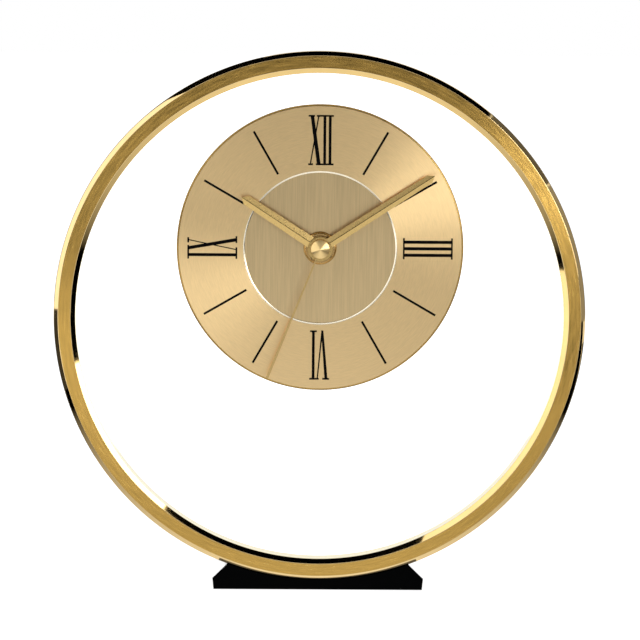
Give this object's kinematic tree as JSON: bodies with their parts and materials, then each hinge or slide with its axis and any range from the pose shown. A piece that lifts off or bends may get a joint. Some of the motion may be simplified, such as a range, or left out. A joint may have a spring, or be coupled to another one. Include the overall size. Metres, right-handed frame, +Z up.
{
  "type": "mantel clock",
  "caption": "Round mantel clock: a gold dial on clear glass inside a gold hoop standing on a low black base, with geared hands, a quartz movement, a setting knob and a removable cell.",
  "frame": {"origin": "on the surface that the clock stands on, below the middle of its width and of its depth", "axes": "+Z up, -Y is the side that the dial faces, +X to the right as seen from the front"},
  "size_m": [0.21, 0.0406, 0.2142],
  "materials": {
    "gold_hoop": "gold anodised, brushed front with polished bevels",
    "base_black": "gloss black",
    "pad_felt": "black felt",
    "steel": "plated steel",
    "clear_glass": "clear",
    "spring_wire": "gold lacquered spring steel",
    "gold_dial": "gold anodised, circular brushed ring and straight brushed centre",
    "black_ink": "printed black",
    "gold_hands": "gold anodised, folded along a ridge",
    "gold_turned": "turned and polished",
    "rubber": "black",
    "movement_plastic": "fine texture, black",
    "gear_plastic": "moulded, natural white",
    "motor_iron": "punched soft iron",
    "magnet": "sintered",
    "copper": "enamelled copper wire",
    "board": "green resin",
    "chip_black": "black epoxy",
    "crystal_can": "tin plated",
    "cell_sleeve": "printed sleeve",
    "contact_metal": "nickel plated spring steel"
  },
  "bodies": {
    "frame": {"hoop": "gold_hoop", "base_block": "base_black", "base_screws": "steel", "base_pad": "pad_felt", "glass_disc": "clear_glass", "glass_spring_ring": "spring_wire", "dial_plate": "gold_dial", "chapter_ring": "gold_dial", "hour_bars": "black_ink", "hour_numerals": "black_ink", "dial_washer": "gold_turned", "dial_nut": "gold_turned", "rubber_washer": "rubber", "threaded_bush": "gold_turned", "movement_front_case": "movement_plastic", "movement_rear_cover": "movement_plastic", "stator": "motor_iron", "coil_core": "motor_iron", "coil_bobbin": "gear_plastic", "coil_winding": "copper", "core_screws": "steel", "circuit_board": "board", "clock_chip": "chip_black", "quartz_crystal": "crystal_can", "positive_contact": "contact_metal", "negative_contact": "contact_metal"},
    "second_hand_body": {"second_wheel": "gear_plastic", "second_hand": "gold_hands", "hand_cap": "gold_turned"},
    "minute_hand_body": {"minute_tube": "gear_plastic", "centre_wheel": "gear_plastic", "minute_hand": "gold_hands"},
    "hour_hand_body": {"hour_wheel": "gear_plastic", "hour_hand": "gold_hands"},
    "third_wheel_body": {"third_wheel": "gear_plastic"},
    "motion_wheel_body": {"motion_wheel": "gear_plastic"},
    "intermediate_wheel_body": {"intermediate_wheel": "gear_plastic"},
    "rotor_body": {"rotor": "gear_plastic", "rotor_magnet": "magnet"},
    "setting_knob_body": {"setting_knob": "movement_plastic"},
    "battery_body": {"battery": "cell_sleeve"}
  },
  "joints": [
    {"name": "second_hand_turn", "type": "hinge", "parent": "frame", "child": "second_hand_body", "pos_m": [0, 0, 0.1366], "axis": [0, 1, 0], "continuous": true},
    {"name": "minute_hand_turn", "type": "hinge", "parent": "frame", "child": "minute_hand_body", "pos_m": [0, 0, 0.1366], "axis": [0, 1, 0], "continuous": true},
    {"name": "hour_hand_turn", "type": "hinge", "parent": "frame", "child": "hour_hand_body", "pos_m": [0, 0, 0.1366], "axis": [0, 1, 0], "continuous": true},
    {"name": "third_wheel_turn", "type": "hinge", "parent": "frame", "child": "third_wheel_body", "pos_m": [0, 0, 0.1471], "axis": [0, 1, 0], "continuous": true},
    {"name": "motion_wheel_turn", "type": "hinge", "parent": "frame", "child": "motion_wheel_body", "pos_m": [-0.0096, 0, 0.1366], "axis": [0, 1, 0], "continuous": true},
    {"name": "intermediate_wheel_turn", "type": "hinge", "parent": "frame", "child": "intermediate_wheel_body", "pos_m": [0.00996, 0, 0.14023], "axis": [0, 1, 0], "continuous": true},
    {"name": "rotor_turn", "type": "hinge", "parent": "frame", "child": "rotor_body", "pos_m": [0.01459, 0, 0.14574], "axis": [0, 1, 0], "continuous": true},
    {"name": "setting_knob_turn", "type": "hinge", "parent": "frame", "child": "setting_knob_body", "pos_m": [-0.0192, 0, 0.1366], "axis": [0, 1, 0], "continuous": true},
    {"name": "battery_lift", "type": "slide", "parent": "frame", "child": "battery_body", "axis": [0, 1, 0], "range_m": [0, 0.03]}
  ],
  "couplings": [
    {"joint": "third_wheel_turn", "follows": "second_hand_turn", "ratio": -0.13333},
    {"joint": "minute_hand_turn", "follows": "second_hand_turn", "ratio": 0.016667},
    {"joint": "motion_wheel_turn", "follows": "second_hand_turn", "ratio": -0.0055556},
    {"joint": "hour_hand_turn", "follows": "second_hand_turn", "ratio": 0.0013889},
    {"joint": "setting_knob_turn", "follows": "second_hand_turn", "ratio": 0.016667},
    {"joint": "intermediate_wheel_turn", "follows": "second_hand_turn", "ratio": -6},
    {"joint": "rotor_turn", "follows": "second_hand_turn", "ratio": 30}
  ]
}
